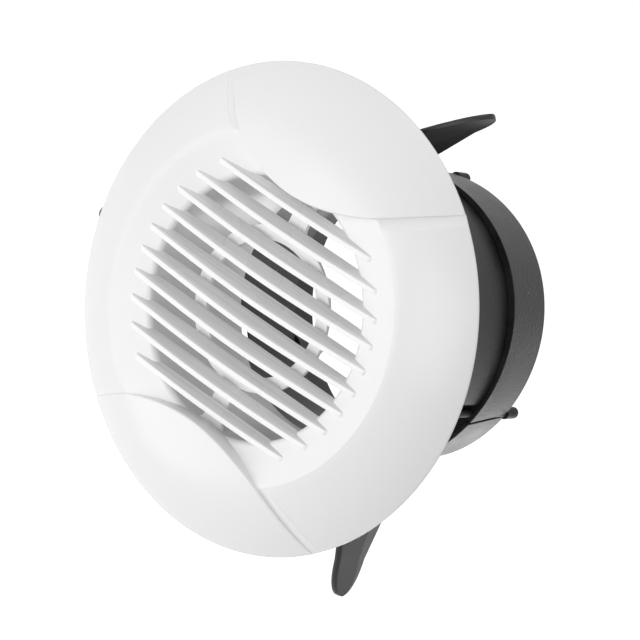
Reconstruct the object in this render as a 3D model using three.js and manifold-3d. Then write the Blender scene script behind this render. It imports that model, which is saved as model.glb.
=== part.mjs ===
// Round louvred vent for a 100 mm duct: a moulded face with fixed louvres, a collar behind it,
// and three spring-loaded wings that grip the back of the board the vent is pushed into.
//
// Frame, in millimetres: the origin is the centre of the face's back plane, +Y runs back into
// the duct, +Z is up and +X is to the right of someone who looks at the face. Angles round the
// duct axis are in degrees, clockwise from +Z as that person sees them.
import * as THREE from 'three';
import { mergeVertices } from 'three/addons/utils/BufferGeometryUtils.js';
import Module from 'manifold-3d';

const wasm = await Module();
wasm.setup();

// ---------------------------------------------------------------- driving dimensions

const SEGMENTS = 72;          // facets round every large circle
const FINE_SEGMENTS = 16;     // facets round pins, bosses and holes

// face: domed disc
const faceRadius = 77;
const rimThickness = 0.5;     // straight edge of the disc
const domeRise = 18.75;       // from the edge to the middle of the dome
const domePower = 4.25;       // higher is flatter in the middle and steeper at the edge
const faceWall = 2.3;
const rimLand = 3.4;          // flat ring that lies against the board

// face: side fields, crest and bevel round the opening
const sideStep = 1.1;         // how far the side fields lie below the eyelid panels
const crestRadius = 55.4;
const bevelInnerRadius = 42;
const bevelInnerHeight = 11.2;
const crestRounding = 1.6;    // width, on each side of the crest
const crestDrop = 0.35;

// face: eyelid panels, with the lip line z = lipHeight + lipCurve x^2 - lipFlare x^4
const lipHeight = 39.3;
const lipCurve = 0.008766;
const lipFlare = 6.57e-7;
const lipHalfWidth = 30.4;
const creaseRimAngle = 40.1;  // where each crease meets the disc's edge
const lipWall = 2.2;

// face: inner spigot
const spigotInnerRadius = 41;
const spigotWall = 1.4;
const spigotDepth = 35.4;

// louvres, with the ring and rib that stiffen them from behind
const louvreCount = 10;
const louvrePitch = 7.7;
const louvreThickness = 1.2;
const louvreTipRadius = 47.5;
const louvreTipHeight = 12.4;
const louvreBow = 1.6;        // front edges bulge this far between their tips
const louvreTilt = 28;        // degrees, rising towards the duct
const ringInnerRadius = 21.3;
const ringOuterRadius = 26.2;
const ringFrontHeight = 7.6;
const ringDepth = 5;
const ringOverlap = 0.4;      // of the louvres' rear edges
const ribWidth = 7;

// collar
const slipGap = 0.6;          // between the spigot and the collar
const collarWall = 3;
const collarDepth = 65.6;
const flangeThickness = 2.5;
const seatGap = 0.3;          // between pieces that rest on each other

// wings and their hinges
const hingeAngles = [-13, 107, 227];
const hingeRadius = 45.2;
const wingLeans = [60, 62.5, 64.5];   // degrees from radial, clockwise, as the springs hold the wings
const wingThickness = 1.8;
const wingFront = 5.3;        // front edge at the hinge
const wingFrontStraight = 30; // length of the front edge before it curves back to the tip
const wingRear = 40;          // rear edge at the hinge
const wingRearStraight = 14;  // length of the rear edge before it slopes to the tip
const wingLength = 59.5;
const wingTipStart = 50;
const wingTipFront = 8.2;
const wingTipRear = 24.5;
const wingTipSweep = [2, 0.5]; // of the front and rear edges' rounding, towards the tip's middle
const knuckleRadius = 2.3;
const pinRadius = 1.4;
const pinSeat = 1.2;          // front end of the pin's blind hole in the flange
const pinPlay = 0.2;          // radial, in every hole that the pin passes
const knobRadius = 1.9;
const knobLength = 6.4;
const knobCrown = 1.6;
const slotBefore = 5.5;       // degrees of the collar's window on each side of the pin
const slotAfter = 13.5;
const windowRear = 41;        // open through the wall for the blade from the flange to here
const recessRear = 61;        // and from here a recess that the pin lies in
const stopPegRadius = 1.5;
const stopPegDistance = 6.5;  // from the hinge, along the blade
const stopPegOverlap = 3.5;   // of the blade's front edge

// torsion springs, in a notch of the knuckle
const notchFront = 17.2;
const notchRear = 23.8;
const notchDepth = 6.5;
const springWire = 0.7;
const springRadius = 2.2;
const springTurns = 4;
const springPitch = 0.95;
const springLegLength = 10;   // under the blade, short of the window's far side when it is folded
const springTailLength = 2.9; // towards the window's side

// rear band
const bandFront = 60.3;
const bandRear = 79.3;
const bandFrontRadius = 48.5;
const bandRearRadius = 47.2;
const bandWall = 1.4;
const shoulderInnerRadius = 44;
const shoulderThickness = 2;
const bandBossRadius = 3.6;
const slitWidth = 0.9;
const slitOffset = 1.35;      // beside the pin, halfway along the band
const slitSlant = 7;          // degrees

// fixing screws
const screwAngles = [47, 167, 287];
const screwRadius = 1.45;
const screwPlay = 0.15;
const screwLength = 9.5;      // below the head
const pilotSpare = 0.8;       // hole left past the screw's end
const screwHeadRadius = 2.8;
const screwHeadHeight = 2.2;
const screwHeadRoom = 2.2;    // from each head to the collar and to the flange's edge
const screwBossRadius = 4;
const driveWidth = 0.9;       // cross recess
const driveDepth = 1.1;

// ---------------------------------------------------------------- sizes that follow

const spigotOuterRadius = spigotInnerRadius + spigotWall;
const spigotMiddleRadius = spigotInnerRadius + spigotWall / 2;
const collarInnerRadius = spigotOuterRadius + slipGap;
const collarOuterRadius = collarInnerRadius + collarWall;
const screwCircleRadius = collarOuterRadius + screwHeadRoom + screwHeadRadius;
const flangeRadius = screwCircleRadius + screwHeadRadius + screwHeadRoom;
const flangeBack = seatGap + flangeThickness;
const shoulderFront = collarDepth + seatGap;
const panelUnderside = -bevelInnerHeight + faceWall / 4;
const panelRootRadius = spigotOuterRadius + 3;
const panelHollowRadius = panelRootRadius + 1.5;
const pinHoleRadius = pinRadius + pinPlay;
const recessFloorRadius = hingeRadius - pinRadius - seatGap;
const screwHoleRadius = screwRadius + screwPlay;
const rimInnerRadius = faceRadius - rimLand;
const screwSeat = flangeBack + seatGap;
const screwEnd = screwSeat - screwLength;
const knobFront = bandRear + seatGap;

// ---------------------------------------------------------------- solids

const radians = (degrees) => degrees * Math.PI / 180;

// place on a circle round the duct axis, as [x, z]
function around(radius, degrees) {
  return [radius * Math.sin(radians(degrees)), radius * Math.cos(radians(degrees))];
}

// closed three.js geometry -> manifold solid
function solid(geometry) {
  const bare = geometry.clone();
  bare.deleteAttribute('normal');
  bare.deleteAttribute('uv');
  const merged = mergeVertices(bare, 1e-5);
  const corners = merged.index.array;
  const triangles = [];
  for (let i = 0; i < corners.length; i += 3) {
    const [a, b, c] = corners.slice(i, i + 3);
    if (a !== b && b !== c && c !== a) triangles.push(a, b, c);
  }
  return new wasm.Manifold(new wasm.Mesh({
    numProp: 3,
    vertProperties: new Float32Array(merged.attributes.position.array),
    triVerts: new Uint32Array(triangles),
  }));
}

// manifold solid -> three.js geometry
function geometryOf(body) {
  const mesh = body.getMesh();
  const geometry = new THREE.BufferGeometry();
  geometry.setAttribute('position', new THREE.BufferAttribute(new Float32Array(mesh.vertProperties), 3));
  geometry.setIndex(new THREE.BufferAttribute(new Uint32Array(mesh.triVerts), 1));
  geometry.computeVertexNormals();
  return geometry;
}

// profile of [radius, y] pairs, counter-clockwise, turned round the duct axis
function turned(profile, segments = SEGMENTS) {
  const points = [...profile, profile[0]].map(([radius, y]) => new THREE.Vector2(radius, y));
  return solid(new THREE.LatheGeometry(points, segments));
}

function tube(inner, outer, front, back) {
  return turned([[inner, front], [outer, front], [outer, back], [inner, back]]);
}

// round bar along Y, centred on [x, z]
function bar(radius, front, back, [x, z], segments = FINE_SEGMENTS) {
  const profile = [[0, front], [radius, front], [radius, back], [0, back]];
  return turned(profile, segments).translate([x, 0, z]);
}

// outline of [x, z] pairs, carried along Y from front to back
function prism(outline, front, back) {
  const shape = new THREE.Shape(outline.map(([x, z]) => new THREE.Vector2(x, z)));
  const geometry = new THREE.ExtrudeGeometry(shape, { depth: back - front, bevelEnabled: false });
  geometry.rotateX(Math.PI / 2);
  geometry.translate(0, back, 0);
  return solid(geometry);
}

function block(width, depth, height, x, y, z) {
  const geometry = new THREE.BoxGeometry(width, depth, height);
  geometry.translate(x, y, z);
  return solid(geometry);
}

// steps from one value to another, both included
function steps(from, to, count) {
  return Array.from({ length: count + 1 }, (_, i) => from + (to - from) * i / count);
}

const hingePlaces = hingeAngles.map((angle) => around(hingeRadius, angle));

const addAll = (bodies) => bodies.reduce((sum, body) => sum.add(body));

// ---------------------------------------------------------------- face

const domeY = (radius) => -(rimThickness + domeRise * (1 - (radius / faceRadius) ** domePower));
const sideY = (radius) => domeY(radius) + sideStep * (1 - (radius / faceRadius) ** 6);

// [x, z] outline of the upper panel, larger than the disc, drawn in by inset on its lip and creases
function panelOutline(inset) {
  const [rimX, rimZ] = around(faceRadius, creaseRimAngle);
  const half = lipHalfWidth - inset * Math.sin(radians(creaseRimAngle));
  const lip = steps(-half, half, 12)
    .map((x) => [x, lipHeight + lipCurve * x ** 2 - lipFlare * x ** 4 + inset]);
  const [cornerX, cornerZ] = lip[lip.length - 1];
  const slopeX = rimX - lipHalfWidth;
  const slopeZ = rimZ - (cornerZ - inset);
  const outX = cornerX + 2 * slopeX;
  const outZ = cornerZ + 2 * slopeZ;
  return [...lip, [outX, outZ], [outX, faceRadius + 10], [-outX, faceRadius + 10], [-outX, outZ]];
}

const mirrored = (outline) => outline.map(([x, z]) => [x, -z]).reverse();

function faceShell() {
  const crest = [crestRadius - crestRounding, sideY(crestRadius) + crestDrop];
  const field = steps(crestRadius, faceRadius, 10).map((radius) => [radius, sideY(radius)]);
  const sides = turned([
    [spigotInnerRadius, -bevelInnerHeight + crestDrop],
    [bevelInnerRadius, -bevelInnerHeight],
    crest,
    ...field,
    [faceRadius, 0],
    [spigotInnerRadius, 0],
  ]);
  const dome = turned([
    ...steps(0, faceRadius, 18).map((radius) => [radius, domeY(radius)]),
    [faceRadius, 0],
    [panelRootRadius, 0],
    [panelRootRadius, panelUnderside],
    [0, panelUnderside],
  ]);
  const front = 2 * domeY(0);
  const outlines = [panelOutline(0), mirrored(panelOutline(0))];
  const panels = outlines.map((outline) => dome.intersect(prism(outline, front, 1)));
  const filled = addAll([sides, ...panels]);

  const sideHollow = turned([
    [spigotOuterRadius, -bevelInnerHeight + faceWall],
    [crest[0], crest[1] + faceWall],
    ...steps(crestRadius, rimInnerRadius, 8).map((radius) => [radius, sideY(radius) + faceWall]),
    [rimInnerRadius, 1],
    [spigotOuterRadius, 1],
  ]);
  const domeHollow = turned([
    ...steps(panelHollowRadius, rimInnerRadius, 10).map((radius) => [radius, domeY(radius) + faceWall]),
    [rimInnerRadius, 1],
    [panelHollowRadius, 1],
  ]);
  const inner = [panelOutline(lipWall), mirrored(panelOutline(lipWall))];
  const panelHollows = inner.map((outline) => domeHollow.intersect(prism(outline, front, 2)));
  const shell = filled.subtract(addAll([sideHollow, ...panelHollows]));

  const places = screwAngles.map((angle) => around(screwCircleRadius, angle));
  const bosses = places.map((place) => bar(screwBossRadius, front, 0, place));
  const pilots = places.map((place) => bar(screwHoleRadius, screwEnd - pilotSpare, 1, place));
  return shell.add(addAll(bosses).intersect(filled)).subtract(addAll(pilots));
}

// slat that rises towards the duct, its middle plane at height z where the tips' fronts are
function slat(z) {
  const front = -(louvreTipHeight + louvreBow + 1);
  const depth = -ringFrontHeight + 1 - front;
  const geometry = new THREE.BoxGeometry(2 * louvreTipRadius + 4, depth, louvreThickness);
  geometry.translate(0, depth / 2, 0);
  const rise = Math.tan(radians(louvreTilt));
  const shear = new THREE.Matrix4().set(
    1, 0, 0, 0,
    0, 1, 0, front,
    0, rise, 1, z + rise * (front + louvreTipHeight),
    0, 0, 0, 1,
  );
  return solid(geometry.applyMatrix4(shear));
}

function louvres() {
  const front = -(louvreTipHeight + louvreBow);
  const bowedFront = steps(0, louvreTipRadius, 8)
    .map((radius) => [radius, front + louvreBow * (radius / louvreTipRadius) ** 2]);
  const limits = turned([
    ...bowedFront,
    [louvreTipRadius, panelUnderside],
    [spigotOuterRadius, panelUnderside],
    [spigotMiddleRadius, -ringFrontHeight],
    [0, -ringFrontHeight],
  ]);
  const lowest = -louvrePitch * (louvreCount - 1) / 2;
  return addAll(steps(lowest, -lowest, louvreCount - 1).map(slat)).intersect(limits);
}

function stiffener() {
  const front = -ringFrontHeight - ringOverlap;
  const back = -ringFrontHeight + ringDepth;
  const ring = tube(ringInnerRadius, ringOuterRadius, front, back);
  const root = (ringInnerRadius + ringOuterRadius) / 2;
  const ribs = [1, -1].map((side) => {
    const middle = side * (spigotOuterRadius + root) / 2;
    return block(ribWidth, back - front, spigotOuterRadius - root, 0, (front + back) / 2, middle);
  });
  return ring.add(addAll(ribs).intersect(bar(spigotMiddleRadius, front - 1, back + 1, [0, 0], SEGMENTS)));
}

function faceGrille() {
  const spigot = tube(spigotInnerRadius, spigotOuterRadius, panelUnderside, spigotDepth);
  return faceShell().add(spigot).add(louvres()).add(stiffener());
}

// ---------------------------------------------------------------- collar

// wedge of the collar's wall over one hinge, from an inner radius outwards
function hingeWedge(angle, inner, front, back) {
  const reach = collarOuterRadius + 4;
  const bearings = steps(angle - slotBefore, angle + slotAfter, 8);
  const outline = [...bearings.map((bearing) => around(reach, bearing)),
    ...bearings.reverse().map((bearing) => around(inner, bearing))];
  return prism(outline, front, back);
}

// peg on the flange that the open wing leans against, close to its hinge
function stopPeg(angle, i) {
  const along = stopPegDistance;
  const off = wingThickness / 2 + seatGap + stopPegRadius;
  const lean = radians(angle + wingLeans[i]);
  const [hingeX, hingeZ] = hingePlaces[i];
  const x = hingeX + along * Math.sin(lean) - off * Math.cos(lean);
  const z = hingeZ + along * Math.cos(lean) + off * Math.sin(lean);
  return bar(stopPegRadius, flangeBack - 0.5, wingFront + stopPegOverlap, [x, z], 12);
}

function collarSleeve() {
  const sleeve = turned([
    [collarInnerRadius, seatGap],
    [flangeRadius, seatGap],
    [flangeRadius, flangeBack],
    [collarOuterRadius, flangeBack],
    [collarOuterRadius, collarDepth],
    [collarInnerRadius, collarDepth],
  ]);
  const windows = hingeAngles.map((angle) =>
    hingeWedge(angle, collarInnerRadius - 3, flangeBack, windowRear));
  const recesses = hingeAngles.map((angle) =>
    hingeWedge(angle, recessFloorRadius, windowRear - 1, recessRear));
  const pegs = hingeAngles.map(stopPeg);
  const pinSeats = hingePlaces.map((place) => bar(pinHoleRadius, pinSeat, flangeBack + 1, place));
  const pinHoles = hingePlaces.map((place) => bar(pinHoleRadius, recessRear - 1, collarDepth + 1, place));
  const screwHoles = screwAngles.map((angle) => bar(screwHoleRadius, seatGap - 1, flangeBack + 1,
    around(screwCircleRadius, angle)));
  const holes = addAll([...pinSeats, ...pinHoles, ...screwHoles]);
  return sleeve.subtract(addAll([...windows, ...recesses])).add(addAll(pegs)).subtract(holes);
}

// ---------------------------------------------------------------- rear band

function bandOuterAt(y) {
  const taper = (bandRearRadius - bandFrontRadius) / (bandRear - bandFront);
  return bandFrontRadius + taper * (y - bandFront);
}

function rearBand() {
  const shoulderBack = shoulderFront + shoulderThickness;
  const band = turned([
    [bandFrontRadius - bandWall, bandFront],
    [bandFrontRadius, bandFront],
    [bandRearRadius, bandRear],
    [bandRearRadius - bandWall, bandRear],
    [bandOuterAt(shoulderBack) - bandWall, shoulderBack],
    [shoulderInnerRadius, shoulderBack],
    [shoulderInnerRadius, shoulderFront],
    [bandOuterAt(shoulderFront) - bandWall, shoulderFront],
  ]);
  const hull = turned([
    [0, shoulderFront],
    [bandOuterAt(shoulderFront), shoulderFront],
    [bandRearRadius, bandRear],
    [0, bandRear],
  ]);
  const bosses = hingePlaces.map((place) => bar(bandBossRadius, shoulderFront, bandRear, place));
  const holes = hingePlaces.map((place) => bar(pinHoleRadius, bandFront - 1, bandRear + 1, place));
  const slits = hingeAngles.map((angle) => {
    const depth = 1.2 * (bandRear - bandFront);
    const slit = block(slitWidth, depth, 2 * knobRadius, 0, 0, hingeRadius + knobRadius);
    return slit.rotate([0, 0, slitSlant]).translate([slitOffset, (bandFront + bandRear) / 2, 0])
      .rotate([0, angle, 0]);
  });
  return band.add(addAll(bosses).intersect(hull)).subtract(addAll([...holes, ...slits]));
}

// ---------------------------------------------------------------- wings, pins and springs

// in the wing's own frame: hinge along Y through the origin, blade along +X, outer side +Z
function wing() {
  const blade = new THREE.Shape();
  blade.moveTo(0, wingFront);
  blade.lineTo(wingFrontStraight, wingFront);
  blade.quadraticCurveTo((wingFrontStraight + wingTipStart) / 2, wingFront, wingTipStart, wingTipFront);
  const tipReach = wingTipStart + (wingLength - wingTipStart) * 4 / 3;
  blade.bezierCurveTo(tipReach, wingTipFront + wingTipSweep[0], tipReach, wingTipRear - wingTipSweep[1],
    wingTipStart, wingTipRear);
  blade.lineTo(wingRearStraight, wingRear);
  blade.lineTo(0, wingRear);
  const settings = { depth: wingThickness, bevelEnabled: false, curveSegments: 8 };
  const plate = new THREE.ExtrudeGeometry(blade, settings);
  plate.translate(0, 0, -wingThickness / 2);
  const knuckle = bar(knuckleRadius, wingFront, wingRear, [0, 0]);
  const hole = bar(pinHoleRadius, wingFront - 1, wingRear + 1, [0, 0]);
  const notchWidth = notchRear - notchFront;
  const notch = block(2 * notchDepth, notchWidth, 4 * knuckleRadius, 0, notchFront + notchWidth / 2, 0);
  return solid(plate).add(knuckle).subtract(hole).subtract(notch);
}

function hingePin() {
  const knobBack = knobFront + knobLength;
  return turned([
    [0, pinSeat + seatGap],
    [pinRadius, pinSeat + seatGap],
    [pinRadius, knobFront],
    [knobRadius, knobFront],
    [knobRadius, knobBack - knobCrown],
    [knobRadius * 0.8, knobBack - knobCrown * 0.3],
    [knobRadius * 0.4, knobBack],
    [0, knobBack],
  ], FINE_SEGMENTS);
}

// one length of wire in the wing's frame: a tail on the collar's side, the coil round the pin, and a
// leg under the blade
function torsionSpring(lean) {
  const gap = wingThickness / 2 + springWire / 2 + seatGap;
  const coilStart = -radians(90 - lean);
  const coilEnd = 2 * Math.PI * springTurns;
  const rise = springPitch / (2 * Math.PI);
  const front = (notchFront + notchRear - springPitch * springTurns) / 2;
  const coil = steps(coilStart, coilEnd, 12 * springTurns + 1).map((turn) => new THREE.Vector3(
    springRadius * Math.sin(turn), front + rise * turn, -springRadius * Math.cos(turn)));
  const tail = new THREE.Vector3(Math.cos(coilStart), 0, Math.sin(coilStart));
  tail.multiplyScalar(-springTailLength).add(coil[0]);
  const leg = [0.5, 1]
    .map((part) => new THREE.Vector3(springLegLength * part, front + rise * coilEnd, -gap));
  const path = new THREE.CatmullRomCurve3([tail, ...coil, ...leg], false, 'centripetal');
  const section = new THREE.Shape().absarc(0, 0, springWire / 2, 0, 2 * Math.PI);
  return new THREE.ExtrudeGeometry(section, { extrudePath: path, steps: 15 * springTurns, curveSegments: 3,
    bevelEnabled: false });
}

// ---------------------------------------------------------------- screws

function collarScrew() {
  const screw = turned([
    [0, screwEnd],
    [screwRadius * 0.45, screwEnd],
    [screwRadius, screwEnd + 2 * screwRadius],
    [screwRadius, screwSeat],
    [screwHeadRadius, screwSeat],
    [screwHeadRadius, screwSeat + screwHeadHeight * 0.55],
    [screwHeadRadius * 0.7, screwSeat + screwHeadHeight],
    [0, screwSeat + screwHeadHeight],
  ], FINE_SEGMENTS);
  const recess = [[driveWidth, screwHeadRadius], [screwHeadRadius, driveWidth]].map(([width, height]) =>
    block(width, 2 * driveDepth, height, 0, screwSeat + screwHeadHeight, 0));
  return screw.subtract(addAll(recess));
}

// ---------------------------------------------------------------- assembly

const white = new THREE.MeshStandardMaterial({ color: 0xf0f2f4, roughness: 0.28, metalness: 0 });
const black = new THREE.MeshStandardMaterial({ color: 0x2b2c2e, roughness: 0.5, metalness: 0 });
const steel = new THREE.MeshStandardMaterial({ color: 0xa9adb2, roughness: 0.3, metalness: 1 });

const vent = new THREE.Group();

function place(name, geometry, material, parent = vent) {
  const mesh = new THREE.Mesh(geometry, material);
  mesh.name = name;
  parent.add(mesh);
  return mesh;
}

place('face_grille', geometryOf(faceGrille()), white);
place('collar_sleeve', geometryOf(collarSleeve()), black);
place('rear_band', geometryOf(rearBand()), black);

hingeAngles.forEach((angle, i) => {
  const [x, z] = hingePlaces[i];
  const hinge = new THREE.Group();
  hinge.position.set(x, 0, z);
  vent.add(hinge);
  place(`hinge_pin_${i + 1}`, geometryOf(hingePin()), black, hinge);
  const leaning = new THREE.Group();
  leaning.rotation.y = radians(angle + wingLeans[i] - 90);
  hinge.add(leaning);
  place(`wing_${i + 1}`, geometryOf(wing()), black, leaning);
  place(`torsion_spring_${i + 1}`, torsionSpring(wingLeans[i]), steel, leaning);
});

screwAngles.forEach((angle, i) => {
  const [x, z] = around(screwCircleRadius, angle);
  place(`collar_screw_${i + 1}`, geometryOf(collarScrew()), steel).position.set(x, 0, z);
});

export default vent;
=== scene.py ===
"""Looks of a round louvred duct vent: white face with fixed louvres, black collar, three sprung wings.

Camera, floor and lamps are placed in metres. Every length of a piece is in millimetres and is turned into
metres where its mesh is made. Y runs back along the duct, Z is up, and angles round the duct axis are in
degrees, clockwise from Z seen from the front.
"""
import math

import bmesh
import bpy
import numpy as np
from mathutils import Matrix, Vector


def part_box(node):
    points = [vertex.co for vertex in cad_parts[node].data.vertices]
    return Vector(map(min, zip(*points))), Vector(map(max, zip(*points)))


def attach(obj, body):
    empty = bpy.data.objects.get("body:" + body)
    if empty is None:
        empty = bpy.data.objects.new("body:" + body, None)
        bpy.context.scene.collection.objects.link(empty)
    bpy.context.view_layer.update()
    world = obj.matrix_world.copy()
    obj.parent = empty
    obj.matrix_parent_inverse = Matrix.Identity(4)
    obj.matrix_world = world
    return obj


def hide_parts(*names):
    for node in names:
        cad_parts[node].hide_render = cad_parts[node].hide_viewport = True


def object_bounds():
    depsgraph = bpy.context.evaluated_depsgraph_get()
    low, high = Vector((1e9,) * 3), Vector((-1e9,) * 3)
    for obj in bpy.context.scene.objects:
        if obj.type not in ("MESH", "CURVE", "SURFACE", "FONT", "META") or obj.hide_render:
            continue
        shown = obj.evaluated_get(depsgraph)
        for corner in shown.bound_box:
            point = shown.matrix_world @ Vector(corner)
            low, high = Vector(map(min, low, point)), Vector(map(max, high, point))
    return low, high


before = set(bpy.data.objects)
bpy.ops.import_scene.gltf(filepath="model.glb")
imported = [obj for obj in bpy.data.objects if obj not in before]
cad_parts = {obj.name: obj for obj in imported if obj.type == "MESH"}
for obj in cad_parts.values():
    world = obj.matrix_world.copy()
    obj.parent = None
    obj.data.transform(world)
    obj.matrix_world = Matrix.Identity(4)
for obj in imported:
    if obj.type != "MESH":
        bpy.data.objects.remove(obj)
cad_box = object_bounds()
scene = bpy.context.scene
scene.view_settings.view_transform = "Standard"
MM = 0.001

# ---------------------------------------------------------------- camera
# A long lens on a tripod, a little above the vent and to its right, tilted so that the
# louvres run down to the right across the view.
camera_azimuth, camera_elevation, camera_roll = 33.561, 16.285, 23.967
camera_distance = 1.2403
camera_aim = Vector((0.01136, 0.00836, 0.00243))

turn = (
    Matrix.Rotation(math.radians(camera_azimuth), 4, "Z")
    @ Matrix.Rotation(math.radians(90 - camera_elevation), 4, "X")
    @ Matrix.Rotation(math.radians(camera_roll), 4, "Z")
)
camera = bpy.data.objects.new("camera", bpy.data.cameras.new("camera"))
camera.data.lens = 225
camera.data.sensor_width = 36
camera.matrix_world = Matrix.Translation(camera_aim + turn.to_3x3() @ Vector((0, 0, camera_distance))) @ turn
scene.collection.objects.link(camera)
scene.camera = camera

# ---------------------------------------------------------------- floor, surroundings and lamps
# A white sweep well below the vent, in a white studio: the camera and the glossy plastics see a
# plain white room, and large soft boxes all round give the shade that shapes the pale face.
floor_drop = 1.20
floor_size = 12.0
floor_glow_strength = 0.75
room_level = 0.435
lamp_distance, lamp_size = 1.5, 0.9


def feed(node, values):
    """Give a node's inputs, by label or number, their plain values or link other nodes' outputs to them."""
    for label, value in values.items():
        if isinstance(value, bpy.types.NodeSocket):
            node.id_data.links.new(value, node.inputs[label])
        else:
            node.inputs[label].default_value = value


def add_node(tree, kind, values=(), **settings):
    """New node of a kind with its own settings and its inputs fed, given back as its outputs."""
    node = tree.nodes.new(kind)
    for name, setting in settings.items():
        setattr(node, name, setting)
    feed(node, dict(values))
    return node.outputs


def seen_directly(tree):
    """One for rays that show the room itself, from the camera, a gloss or a glass, else zero."""
    path = add_node(tree, "ShaderNodeLightPath")
    shows = path["Is Camera Ray"]
    for ray in ("Is Glossy Ray", "Is Transmission Ray"):
        shows = add_node(tree, "ShaderNodeMath", {0: shows, 1: path[ray]}, operation="MAXIMUM")[0]
    return shows


world = bpy.data.worlds.new("white_room")
world.use_nodes = True
scene.world = world
room_tree = world.node_tree
room_tree.nodes.clear()
shown_room = add_node(room_tree, "ShaderNodeBackground", {"Color": (1, 1, 1, 1)})
lighting_room = add_node(room_tree, "ShaderNodeBackground", {
    "Color": (0.985, 0.98, 1, 1), "Strength": room_level})
white_room = add_node(room_tree, "ShaderNodeMixShader", {
    "Fac": seen_directly(room_tree), 1: lighting_room[0], 2: shown_room[0]})
add_node(room_tree, "ShaderNodeOutputWorld", {"Surface": white_room[0]})

half_floor = floor_size / 2
floor_mesh = bpy.data.meshes.new("floor")
floor_mesh.from_pydata(
    [(-half_floor, -half_floor, 0), (half_floor, -half_floor, 0), (half_floor, half_floor, 0),
     (-half_floor, half_floor, 0)], [], [(0, 1, 2, 3)])
floor = bpy.data.objects.new("floor", floor_mesh)
floor.location.z = cad_box[0].z - floor_drop
scene.collection.objects.link(floor)
floor_paint = bpy.data.materials.new("floor_paint")
floor_paint.use_nodes = True
floor_tree = floor_paint.node_tree
floor_glow = add_node(floor_tree, "ShaderNodeMath", {
    0: seen_directly(floor_tree), 1: floor_glow_strength}, operation="MULTIPLY")
feed(floor_tree.nodes["Principled BSDF"], {
    "Base Color": (0.82, 0.82, 0.82, 1), "Roughness": 0.9, "Emission Color": (1, 1, 1, 1),
    "Emission Strength": floor_glow[0]})
floor_mesh.materials.append(floor_paint)


def soft_box(name, azimuth, elevation, watts):
    """Square area lamp at a bearing and height round the vent, turned to face it."""
    lamp = bpy.data.objects.new(name, bpy.data.lights.new(name, "AREA"))
    lamp.data.size = lamp_size
    lamp.data.energy = watts
    side, rise = math.radians(azimuth), math.radians(elevation)
    away = Vector((math.sin(side) * math.cos(rise), -math.cos(side) * math.cos(rise), math.sin(rise)))
    lamp.location = away * lamp_distance
    lamp.rotation_mode = "QUATERNION"
    lamp.rotation_quaternion = away.to_track_quat("Z", "Y")
    scene.collection.objects.link(lamp)


for lamp_name, lamp_azimuth, lamp_elevation, lamp_watts in (
        ("front_box", -15, 0, 5.5), ("left_box", -45, 0, 2.7), ("low_left_box", -45, -35, 4.1),
        ("right_box", 30, 10, 4.9), ("top_box", 0, 88, 5.1), ("rear_box", 165, -15, 1.6),
        ("low_rear_box", 165, -45, 7.4)):
    soft_box(lamp_name, lamp_azimuth, lamp_elevation, lamp_watts)

# ---------------------------------------------------------------- white face: disc, eyelids and spigot
# One injection moulding in glossy white ABS. The disc is a shallow dome with two lens-shaped eyelid
# panels standing proud above and below the opening, side fields that break at a beaded crest and
# slope in to the opening, and a thin spigot behind it. The back is hollow, with three screw bosses.
face_high = np.array(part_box("face_grille")[1]) / MM
face_radius = face_high[0]
spigot_depth = face_high[1]
rim_edge, rim_rounding = 0.5, 0.3    # height of the dome over the back plane at the rim, and its edge
rim_land = 3.4                # flat ring against the wall
dome_rise = 18.75
dome_power = 4.25
face_wall = 2.3
side_step = 1.1               # the side fields lie this far under the panels' surface
side_power = 6
crest_radius = 55.4
crest_rounding = 0.8
opening_radius = 42.0
opening_height = 11.2
opening_rounding = 2.2
spigot_inner, spigot_outer = 41.0, 42.4
lip_height, lip_curve, lip_flattening, lip_half = 39.3, 0.008766, 6.57e-7, 30.4
crease_rim_angle = 40.1
groove_depth = 0.6            # of the valley along each crease, at the lip's corner
groove_depth_at_rim, groove_fade_power = 0.4, 8
groove_width = 3.7
groove_run_in = 3             # over which it begins, across the crest
groove_hidden = 0.3           # share of its width that it goes on falling under the panel
groove_rounding = 0.35
edge_bead_height, edge_bead_width = 0.24, 0.4
crest_bead_share = 0.4
groove_bead_place = 3.2       # of the bead beyond the valley, from the crease
bead_run_in, bead_run_out = 3, 2     # over which it begins outside the crest and ends at the rim
panel_gap = 0.4               # that a panel's underside keeps from the field's lowest line
panel_edge_rounding, panel_edge_share = 0.9, 0.6     # the edge is rounded over this share of its step
rim_tuck, rim_tuck_from = 0.3, 76    # the disc's edge is drawn in a little where a panel covers it
crisp_angle = 35              # edges sharper than this are left crisp
boss_radius, boss_circle, boss_angles = 4.0, 51.0, (47, 167, 287)


def surface(points, close_columns=False, close_rows=False):
    """Vertices and quads of a grid of points; each cell between neighbouring rows and columns is a face."""
    rows, columns = points.shape[:2]
    index = np.arange(rows * columns).reshape(rows, columns)
    if close_columns:
        index = np.hstack([index, index[:, :1]])
    if close_rows:
        index = np.vstack([index, index[:1]])
    quads = np.stack([index[:-1, :-1], index[:-1, 1:], index[1:, 1:], index[1:, :-1]], axis=-1)
    return points.reshape(-1, 3), quads.reshape(-1, 4).tolist()


def bar_of_rings(rings):
    """Closed bar from a stack of closed rings of points, with a flat face over each end ring."""
    points, faces = surface(rings, close_columns=True)
    count = rings.shape[1]
    last = (rings.shape[0] - 1) * count
    return points, faces + [list(range(count))[::-1], list(range(last, last + count))]


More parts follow.
